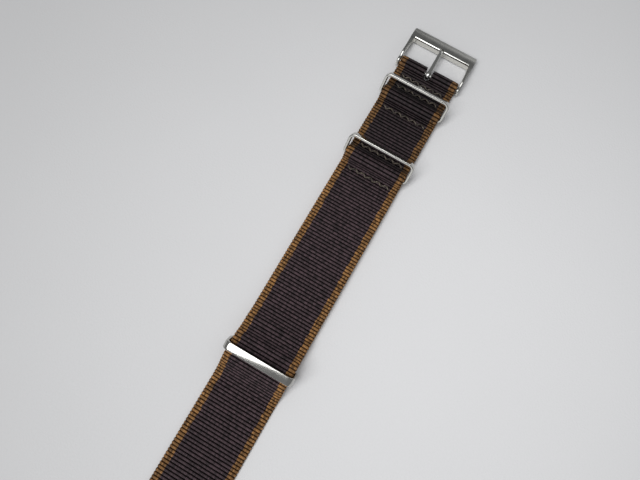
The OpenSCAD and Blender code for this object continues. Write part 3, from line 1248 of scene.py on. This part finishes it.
@dataclass
class StitchRow:
    """One zig-zag row: needle thread on the upper face, bobbin thread beneath."""

    name: str
    node: str
    x: float
    proud: bool = True
    sides: int = 9
    furrow: float = 0.8
    rings: int = 10
    twist: float = 200.0
    waist: float = 0.72
    waist_power: float = 0.5
    sink: float = 0.3
    sink_power: float = 0.45
    uneven: float = 0.12
    waver: tuple[Point, Point] = ((5.1, 1.7), (3.3, 2.9))

    def stitch(self, flat: float) -> Piece:
        """One stitch along X, from hole to hole, arched and twisted.

        Args:
            flat: Height of the thread as a share of its width.

        Returns:
            The stitch.
        """
        s = SIZES
        bpy.ops.mesh.primitive_circle_add(vertices=self.sides, radius=s.thread_w / 2, fill_type="NGON",
                                          rotation=(0, math.pi / 2, 0))
        obj = added(self.name + "_stitch")
        upright(obj)
        for i in range(0, self.sides, 3):
            obj.data.vertices[i].co *= self.furrow
        edit(obj)
        for _ in range(self.rings):
            draw_out((s.leg_l / self.rings, 0, 0))
        close_up()

        def rule(co: Vector) -> Vector:
            """Turns one point with the twist, and sinks it towards the ends.

            Args:
                co: The point's place on the straight thread.

            Returns:
                Its place on the stitch.
            """
            t = co.x / s.leg_l
            arch = max(0.0, math.sin(math.pi * t))
            swell = self.waist + (1 - self.waist) * arch ** self.waist_power
            angle = math.radians(self.twist) * t
            y = (co.y * math.cos(angle) - co.z * math.sin(angle)) * swell
            z = (co.y * math.sin(angle) + co.z * math.cos(angle)) * swell
            drop = self.sink * (1 - arch ** self.sink_power)
            return Vector((co.x, y, (z - drop) * flat))

        reshape(obj, rule)
        map_uv(obj, lambda co: (co.x / s.thread_w, math.atan2(co.z, co.y) / math.tau))
        smooth(obj, angle=60.0)
        return obj

    def threads(self) -> list[Triple]:
        """Height of the middle line, share of the full height and direction of the arch for both threads.

        Returns:
            One entry for the needle thread and one for the bobbin thread.
        """
        s = SIZES
        share = (s.thread_t if self.proud else s.thread_flat_t) / s.thread_w
        top = s.top_z - s.groove_d + share * s.thread_w / 2
        return [(top, share, 1.0), (s.groove_d - s.thread_flat_t / 2, s.thread_flat_t / s.thread_w, -1.0)]

    def point(self, i: int, height: float) -> Vector:
        """Where the needle went in for the i-th time, a little off the even zig-zag.

        Args:
            i: Count of the hole, from 0.
            height: Height of the thread's middle line.

        Returns:
            The hole's place.
        """
        s = SIZES
        side = -1 if i % 2 == 0 else 1
        off, slip = (self.uneven * math.sin(a * i + b * self.x) for a, b in self.waver)
        y = s.row_l * (i / s.row_turns - 0.5) + slip
        return Vector((self.x + side * (s.row_half - abs(off)), y, height))

    def build(self) -> Piece:
        """Sews the row and returns it as one piece.

        Returns:
            The row of both threads.
        """
        s = SIZES
        parts = []
        for height, share, way in self.threads():
            master = self.stitch(share)
            for i in range(s.row_turns):
                near, far = self.point(i, height), self.point(i + 1, height)
                step = far - near
                copy = master.copy()
                copy.data = master.data.copy()
                bpy.context.scene.collection.objects.link(copy)
                turn = Matrix.Rotation(math.atan2(step.y, step.x), 4, "Z")
                stretch = Matrix.Diagonal((step.length / s.leg_l, 1, way, 1))
                copy.data.transform(Matrix.Translation(near) @ turn @ stretch)
                if way < 0:
                    copy.data.flip_normals()
                parts.append(copy)
            bpy.data.objects.remove(master)
        return join(self.name, parts)


# Steel pieces


@dataclass
class Keeper:
    """A ring of flat band, with a soft crown on its outer face."""

    name: str
    x: float
    z: float
    lean: float
    crown: float = 0.07
    crown_at: float = 0.45
    edge_r: float = 0.18
    edge_steps: int = 4
    corner_steps: int = 12

    def section(self) -> list[Point]:
        """Section of the band: distance outwards and place along the ring's axis, in order.

        Returns:
            The section's points.
        """
        s = SIZES
        half_t, half_w, r = s.band_t / 2, s.band_w / 2, self.edge_r
        lift = half_w - r
        points: list[Point] = []
        for side_t, side_w, start in ((1, -1, -90), (1, 1, 0), (-1, 1, 90), (-1, -1, 180)):
            points += arc_points(side_t * (half_t - r), side_w * lift, r, start, start + 90, self.edge_steps)
            if (side_t, side_w) == (1, -1):
                points += [(half_t, place * half_w) for place in (-self.crown_at, 0.0, self.crown_at)]
        return [(t + self.crown * (1 - min(1.0, abs(w) / lift) ** 2), w) if t > half_t - 1e-6 else (t, w)
                for t, w in points]

    def build(self) -> Piece:
        """Extrudes and spins the band's section into a ring, and leans it in its pocket.

        Returns:
            The finished ring.
        """
        s = SIZES
        ring_y = s.web_w / 2 + s.ring_gap + s.band_t / 2
        bend, low_bend = s.ring_corner_r - s.band_t / 2, s.ring_low_r - s.band_t / 2
        reach, low_reach = ring_y - bend, ring_y - low_bend
        rise, high = s.ring_h - bend - low_bend, s.ring_h - bend
        section = self.section()
        obj = ring(self.name, [(along, 0.0, -out) for out, along in section], "NOTHING")
        corners = [(low_reach, low_bend), (reach, high), (-reach, high), (-low_reach, low_bend)]
        moves = [(0, 0, rise), (0, -2 * reach, 0), (0, 0, -rise), (0, low_reach, 0)]
        edit(obj)
        draw_out((0, low_reach, 0))
        for (y, z), move in zip(corners, moves):
            bpy.ops.mesh.spin(steps=self.corner_steps, angle=-math.pi / 2, center=(0, y, z), axis=(1, 0, 0))
            draw_out(move)
        bpy.ops.mesh.select_all(action="SELECT")
        bpy.ops.mesh.remove_doubles(threshold=WELD)
        close_up()
        smooth(obj, angle=50.0)
        lean = Matrix.Rotation(math.radians(self.lean), 4, "Y")
        obj.matrix_world = Matrix.Translation((self.x, 0, self.z)) @ lean
        return obj


@dataclass
class Buckle:
    """The buckle's frame, pin and tongue, modelled round the pin's axis."""

    root: Point = (0.3, 0.45)
    foot: Point = (0.1, -0.8)
    lug_steps: int = 40
    edge_turn: float = 75.0
    edge_steps: int = 22
    crown: float = 0.15
    crown_steps: int = 14
    shoulder_r: float = 1.6
    shoulder_steps: int = 4
    corner_steps: int = 14
    window_steps: int = 8
    kink: float = 1.1
    tool_h: float = 4.0
    tool_back: float = 3.0
    spare: float = 1.0
    gleam_w: float = 0.27
    gleam_slope: float = 0.8
    gleam_inset: float = 0.1
    gleam_lean: Point = (0.25, 0.1)
    wall_lean: float = 0.5
    facet_l: float = 0.38
    facet_d: float = 0.12
    rest_play: float = 0.3
    arm_edge: float = 0.32
    arm_steps: int = 7
    arm_low_z: float = -0.4
    sharp: float = 0.5
    crosswise: float = 0.9
    arm_stop: float = 0.05
    arm_fade: float = 2.4
    fade_steps: int = 6
    fade_share: float = 0.9
    pin_sides: int = 40
    pin_dome: tuple[Point, Point] = ((0.12, 0.05), (0.25, 0.04))
    strip_w: float = 1.12
    strip_sides: int = 28
    squareness: float = 2.7
    curl: Point = (26.0, -270.0)
    curl_steps: int = 44
    run_steps: int = 26
    run_ease: float = 1.6
    crown_rise: float = 4.0
    thin_from: float = 0.8
    thin_share: float = 0.3
    tip_least: float = 0.05

    def on_pin(self, obj: Piece) -> None:
        """Stands a piece modelled in the buckle's own axes on the pin."""
        turn = Matrix.Rotation(math.radians(SIZES.dip), 4, "Y")
        obj.matrix_world = Matrix.Translation((SIZES.pin_x, 0, SIZES.pin_z)) @ turn

    def side(self) -> list[Point]:
        """The frame's side: round lug, crank up to the plate, and the top bar's round edge.

        Returns:
            The outline in the X-Z plane.
        """
        s = SIZES
        root, foot = (Vector([s.arm_end_r * share for share in start]) for start in (self.root, self.foot))
        shoulder, sole = Vector((s.crank_l, s.bar_top_z)), Vector((s.crank_l, s.bar_low_z))
        valley = crossing(root, shoulder, s.arm_end_r)
        heel = crossing(foot, sole, s.arm_end_r) + 360
        points = arc_points(0, 0, s.arm_end_r, valley, heel, self.lug_steps) + [tuple(sole)]
        edge = self.edge_turn
        points += arc_points(s.tip_x, s.frame_crank, s.tip_r, -edge, edge, self.edge_steps)
        for i in range(1, self.crown_steps):
            x = s.tip_x + (s.window_x - s.tip_x) * i / self.crown_steps
            points.append((x, s.bar_top_z + self.crown * math.sin(math.pi * i / self.crown_steps)))
        turn = math.degrees(math.atan2(shoulder.y - root.y, shoulder.x - root.x))
        x, z = s.crank_l + self.shoulder_r * math.tan(math.radians(turn / 2)), s.bar_top_z - self.shoulder_r
        return points + arc_points(x, z, self.shoulder_r, 90, 90 + turn, self.shoulder_steps)

    def window(self) -> list[Point]:
        """The window's outline seen from above.

        Returns:
            The outline in the X-Y plane.
        """
        s = SIZES
        x, y, r = s.window_x - s.window_corner_r, s.root_y - s.window_corner_r, s.window_corner_r
        half = [(-s.arm_end_r - self.spare, s.window_y), (s.crank_l + self.kink, s.window_y), (x, s.root_y)]
        half += arc_points(x, y, r, 90, 0, self.window_steps)[1:]
        return [(a, -b) for a, b in half] + half[::-1]

    def frame(self) -> Piece:
        """The frame: its side drawn out across the strap, trimmed to its outline and opened.

        Returns:
            The finished frame.
        """
        s = SIZES
        half, steps, tool_h = s.frame_w / 2, self.corner_steps, self.tool_h
        obj = drawn_across("buckle_body", self.side(), half + self.spare)
        x, y, r = s.frame_reach - s.frame_corner_r, half - s.frame_corner_r, s.frame_corner_r
        plan = [(-self.tool_back, -half)] + arc_points(x, -y, r, -90, 0, steps)
        plan += arc_points(x, y, r, 0, 90, steps) + [(-self.tool_back, half)]
        cut(obj, extruded("plan_tool", plan, -tool_h, tool_h), "INTERSECT")
        cut(obj, extruded("window_tool", self.window(), -tool_h, tool_h))
        lip = s.bar_top_z - self.gleam_slope * (self.gleam_w - self.facet_d)
        back, low = s.window_x - self.spare, lip - self.facet_l
        high = s.bar_top_z + self.gleam_slope * self.spare
        edge = [(back, low), (s.window_x, low), (s.window_x + self.facet_d, lip),
                (s.window_x + self.gleam_w + self.spare, high), (back, high)]
        cut(obj, drawn_across("bevel_tool", edge, s.root_y - self.gleam_inset))
        notch_z, notch_y = s.bar_top_z - s.bevel, s.notch_w / 2
        front = s.window_x + s.tongue_lap + self.rest_play
        rest = [(back, -notch_y), (front, -notch_y), (front, notch_y), (back, notch_y)]
        cut(obj, extruded("rest_tool", rest, notch_z, notch_z + 2 * self.spare))
        self.round_arms(obj)
        smooth(obj, angle=15.0)
        apply(obj, "WEIGHTED_NORMAL", keep_sharp=True)
        self.mark_polish_and_painted_walls(obj)
        self.on_pin(obj)
        return obj

    def weigh_arms(self, obj: Piece, stop: float) -> None:
        """Gives bevel weight to the upper edges that run along the arms and lugs, up to stop in X.

        Args:
            obj: The frame.
            stop: Place in X at which the edges end.
        """
        mesh = obj.data
        normals: dict[tuple[int, int], list[Vector]] = {}
        for polygon in mesh.polygons:
            for key in polygon.edge_keys:
                normals.setdefault(key, []).append(polygon.normal.copy())
        weight = mesh.attributes.new("bevel_weight_edge", "FLOAT", "EDGE")
        for i, edge in enumerate(mesh.edges):
            ends = [mesh.vertices[v].co for v in edge.vertices]
            one, two = normals[edge.key]
            across = abs(ends[0].y - ends[1].y) > self.crosswise * (ends[0] - ends[1]).length
            on_arm = all(co.x < stop + NEAR and co.z > self.arm_low_z for co in ends)
            if one.dot(two) < self.sharp and not across and on_arm:
                weight.data[i].value = 1.0

    def round_arms(self, obj: Piece) -> None:
        """Rounds the upper edges of the arms and lugs, and lets the rounding fade out at the top bar.

        Args:
            obj: The frame.
        """
        s = SIZES
        root_x = s.window_x - s.window_corner_r
        stop = root_x - self.arm_stop
        for i in range(self.fade_steps + 1):
            edit(obj)
            x = stop - self.arm_fade * i / self.fade_steps
            bpy.ops.mesh.bisect(plane_co=(x, 0, 0), plane_no=(1, 0, 0))
            leave()
        self.weigh_arms(obj, stop)
        apply(obj, "BEVEL", width=self.arm_edge, segments=self.arm_steps, limit_method="WEIGHT",
              use_clamp_overlap=False)
        start, zone = s.crank_l + self.kink, self.arm_edge + NEAR

        def rule(co: Vector) -> Vector:
            """Draws one point of the rounding towards the corner that it was cut from.

            Args:
                co: The point's place.

            Returns:
                Its new place.
            """
            share = min(1.0, (co.x - stop + self.arm_fade) / self.arm_fade)
            if share <= 0 or co.x > stop + 2 * NEAR or co.z < s.bar_top_z - zone:
                return co
            inner = s.window_y + (s.root_y - s.window_y) * (co.x - start) / (root_x - start)
            keep = 1 - self.fade_share * share
            for corner in (s.frame_w / 2, inner):
                if abs(abs(co.y) - corner) < zone:
                    y = corner + (abs(co.y) - corner) * keep
                    return Vector((co.x, math.copysign(y, co.y), s.bar_top_z + (co.z - s.bar_top_z) * keep))
            return co

        reshape(obj, rule)

    def mark_polish_and_painted_walls(self, obj: Piece) -> None:
        """Marks the polished bevel and facet with index 1, and the window's walls with index 2, which take a
        brighter copy of the satin steel as painted reflection.

        Args:
            obj: The frame, before it stands on the pin.
        """
        s = SIZES
        low, high = s.window_x - 2 * NEAR, s.window_x + self.gleam_w + 3 * NEAR
        for polygon in obj.data.polygons:
            x, y, z = polygon.center
            out = polygon.normal
            faces_up_in = out.x < -self.gleam_lean[0] and out.z > self.gleam_lean[1]
            inwards = out.x < -self.wall_lean or out.y * y < -self.wall_lean * abs(y)
            faces_window = inwards and abs(out.z) < self.wall_lean
            if low < x < high and faces_up_in and z > s.bar_top_z - self.gleam_w - self.facet_l:
                polygon.material_index = 1
            # Index 2 gives the walls a brighter steel as painted reflection.
            elif x < s.window_x + 2 * NEAR and faces_window:
                polygon.material_index = 2

    def pin(self) -> Piece:
        """The pin, with slightly domed ends.

        Returns:
            The finished pin.
        """
        s = SIZES
        bpy.ops.mesh.primitive_cylinder_add(vertices=self.pin_sides, radius=s.pin_r, depth=s.frame_w,
                                            end_fill_type="NGON", rotation=(math.pi / 2, 0, 0))
        obj = added("buckle_pin_rod")
        upright(obj)
        for side in (-1, 1):
            edit(obj, lambda co, side=side: side * co.y > s.frame_w / 2 - NEAR, faces=True)
            for thickness, depth in self.pin_dome:
                bpy.ops.mesh.inset(thickness=thickness, depth=depth)
            leave()
        smooth(obj, angle=50.0)
        self.on_pin(obj)
        return obj

    def tongue_line(self) -> list[tuple[Vector, float]]:
        """Middle line of the tongue from the curl's open end to the tip, with its share of the thickness.

        Returns:
            The line's points, each with its share.
        """
        s = SIZES
        curl_in, thick = s.pin_r + s.hinge_gap, s.tongue_t
        tip_x, tip_z = s.window_x + s.tongue_lap, s.bar_top_z - s.bevel + s.rest_gap
        curl = arc_points(0, 0, curl_in + thick / 2, *self.curl, self.curl_steps)
        line = [(Vector((x, 0, z)), 1.0) for x, z in curl]
        for i in range(1, self.run_steps + 1):
            t = 1 - (1 - i / self.run_steps) ** self.run_ease
            arch = s.tongue_crown * math.sin(math.pi * t) * min(1.0, self.crown_rise * t)
            low = curl_in + (tip_z - curl_in) * t + arch
            thin = 1 - self.thin_share * max(0.0, (t - self.thin_from) / (1 - self.thin_from)) ** 2
            line.append((Vector((tip_x * t, 0, low + thick * thin / 2)), thin))
        return line

    def tongue(self) -> Piece:
        """The tongue: a strip of soft rounded section, curled round the pin, with a round tip.

        Returns:
            The finished tongue.
        """
        s = SIZES
        line, half = self.tongue_line(), self.strip_w / 2
        tip_x = line[-1][0].x
        section = []
        for i in range(self.strip_sides):
            turn = math.tau * i / self.strip_sides
            sides = math.cos(turn), math.sin(turn)
            y, z = (math.copysign(abs(v) ** (2 / self.squareness), v) for v in sides)
            section.append((0, half * y, s.tongue_t / 2 * z))
        obj = ring("buckle_tongue_strip", section)
        edit(obj)
        for _ in line[1:]:
            draw_out((1, 0, 0))
        close_up()

        def rule(co: Vector) -> Vector:
            """Carries one point of the straight strip to its station on the line.

            Args:
                co: The point's place on the straight strip.

            Returns:
                Its place on the curled one.
            """
            i = round(co.x)
            middle, share = line[i]
            way = (line[min(len(line) - 1, i + 1)][0] - line[max(0, i - 1)][0]).normalized()
            out = Vector((-way.z, 0, way.x))
            over = max(0.0, middle.x - (tip_x - half)) if i > self.curl_steps else 0.0
            narrow = math.sqrt(max(self.tip_least, 1 - (over / half) ** 2))
            return middle + out * (co.z * share * narrow ** 0.5) + Vector((0, co.y * narrow, 0))

        reshape(obj, rule)
        smooth(obj, angle=50.0)
        self.on_pin(obj)
        return obj


# Studio


@dataclass(frozen=True)
class Lamp:
    """A soft rectangular lamp: place and two sides in metres, power in watts, turn in degrees."""

    name: str
    place: Triple
    size: Point
    power: float
    turn: float = 0.0

    def hang(self, aim: Triple) -> None:
        """Hangs the lamp so that it faces a place on the strap.

        Args:
            aim: The place that it faces, in metres.
        """
        data = bpy.data.lights.new(self.name, "AREA")
        data.shape, data.size, data.size_y = "RECTANGLE", *self.size
        data.energy = self.power
        obj = bpy.data.objects.new(self.name, data)
        back = (Vector(self.place) - Vector(aim)).normalized()
        across = back.cross(Vector((1, 0, 0))).normalized()
        facing = Matrix((across.cross(back), across, back)).transposed().to_4x4()
        spin = Matrix.Rotation(math.radians(self.turn), 4, "Z")
        obj.matrix_world = Matrix.Translation(self.place) @ facing @ spin
        bpy.context.scene.collection.objects.link(obj)


@dataclass
class Studio:
    """Table, light and camera."""

    table_l: float = 3.0
    table_drop: float = 0.00003
    sky_colour: Triple = (0.97, 0.985, 1.0)
    sky_strength: float = 0.25
    aim: Triple = (0.03, 0.0, 0.0)
    lamps: tuple[Lamp, ...] = (
        Lamp("ceiling", (-0.3, 0.27, 1.0), (1.05, 0.52), 9.0, -26.0),
        Lamp("window", (-1.2, 0.1, 0.42), (0.4, 1.6), 1.5),
        Lamp("painted_wall", (1.3, -0.55, 0.58), (1.5, 0.4), 1.8, 41.0),
    )
    eye: Triple = (40.748, -8.854, 154.568)
    ahead: Triple = (0.18436, 0.07598, -0.97992)
    up: Triple = (0.84653, 0.49432, 0.19759)
    view_angle: float = 62.38
    nearest: float = 0.005

    def table(self) -> None:
        """Lays the pale cloth under the strap."""
        bpy.ops.mesh.primitive_plane_add(size=self.table_l, location=(0, 0, -self.table_drop))
        floor = added("table_cloth")
        floor.data.materials.append(ClothFinish().material())

    def camera(self) -> None:
        """Stands the camera where the photograph was taken from."""
        ahead, up = Vector(self.ahead).normalized(), Vector(self.up)
        right = ahead.cross(up).normalized()
        up = right.cross(ahead)
        lens = bpy.data.cameras.new("camera")
        lens.sensor_fit = "HORIZONTAL"
        lens.angle = math.radians(self.view_angle)
        lens.clip_start = self.nearest
        obj = bpy.data.objects.new("camera", lens)
        turn = Matrix((right, up, -ahead)).transposed().to_4x4()
        obj.matrix_world = Matrix.Translation(Vector(self.eye) * MM) @ turn
        bpy.context.scene.collection.objects.link(obj)
        bpy.context.scene.camera = obj

    def sky(self) -> None:
        """Fills the room with even soft light."""
        world = bpy.data.worlds.new("room")
        world.use_nodes = True
        back = world.node_tree.nodes["Background"]
        back.inputs["Color"].default_value = (*self.sky_colour, 1.0)
        back.inputs["Strength"].default_value = self.sky_strength
        bpy.context.scene.world = world

    def build(self) -> None:
        """Sets up the whole studio."""
        bpy.context.scene.view_settings.view_transform = "Standard"
        self.table()
        self.sky()
        for lamp in self.lamps:
            lamp.hang(self.aim)
        self.camera()


def build_straps() -> None:
    """Makes both lengths of webbing and the six rows that sew them."""
    webbing = WebbingFinish("ribbed_webbing").material()
    under = WebbingFinish("ribbed_under_webbing", ground=(0.048, 0.035, 0.04)).material()
    thread = ThreadFinish().material()
    long = LongStrap("long_webbing", long_route()).build()
    settle(long, Body.STRAP, Slot.WEBBING, webbing, "long_strap")
    short = ShortStrap("short_webbing", short_route()).build()
    settle(short, Body.STRAP, Slot.UNDER_WEBBING, under, "short_strap")
    names = ("buckle", "front_near", "front_far", "middle_near", "middle_far")
    rows = [StitchRow(f"thread_{n}", f"stitch_row_{n}", x) for n, x in zip(names, SIZES.rows_x)]
    rows.append(StitchRow("thread_end", "stitch_row_end", SIZES.row_end_x, proud=False))
    for row in rows:
        settle(row.build(), Body.STRAP, Slot.THREAD, thread, row.node)


def build_fittings() -> None:
    """Makes the three keepers and the buckle."""
    s = SIZES
    band = SteelFinish("keeper_band", (0.49, 0.482, 0.458), rough=0.13, lines=0.0, rough_range=0.03,
                       grain=(1500.0, 120.0, 1500.0)).material()
    for name, x, z, lean, body in (
        ("front", s.front_x, s.pocket_z, 40.0, Body.FRONT_RING),
        ("middle", s.middle_x, s.pocket_z, 45.0, Body.MIDDLE_RING),
        ("end", s.end_x, s.loop_z, -15.0, Body.END_RING),
    ):
        settle(Keeper(f"{name}_ring", x, z, lean).build(), body, Slot.KEEPER, band, f"keeper_{name}")
    satin = SteelFinish("satin_frame", (0.315, 0.313, 0.3), rough=0.28, lines=0.1).material()
    bright = SteelFinish("bright_steel", (0.46, 0.46, 0.44), rough=0.16, lines=0.02,
                         rough_range=0.04).material()
    # Painted reflection: a brighter copy of the satin steel for the window's walls.
    painted_wall = SteelFinish("window_wall_painted_reflection", (0.76, 0.75, 0.7), rough=0.3, lines=0.05).material()
    dull = SteelFinish("dull_pin", (0.3, 0.298, 0.285), rough=0.4, lines=0.08).material()
    buckle = Buckle()
    settle(buckle.frame(), Body.BUCKLE, Slot.SATIN, satin, "buckle_frame", marked=(bright, painted_wall))
    settle(buckle.pin(), Body.BUCKLE, Slot.POLISHED, dull, "buckle_pin")
    settle(buckle.tongue(), Body.TONGUE, Slot.POLISHED, bright, "buckle_tongue")


def main() -> None:
    """Builds the dressed strap and the studio."""
    logging.basicConfig(level=logging.INFO, format="%(name)s: %(message)s")
    Studio().build()
    build_straps()
    build_fittings()


if __name__ == "__main__":
    main()
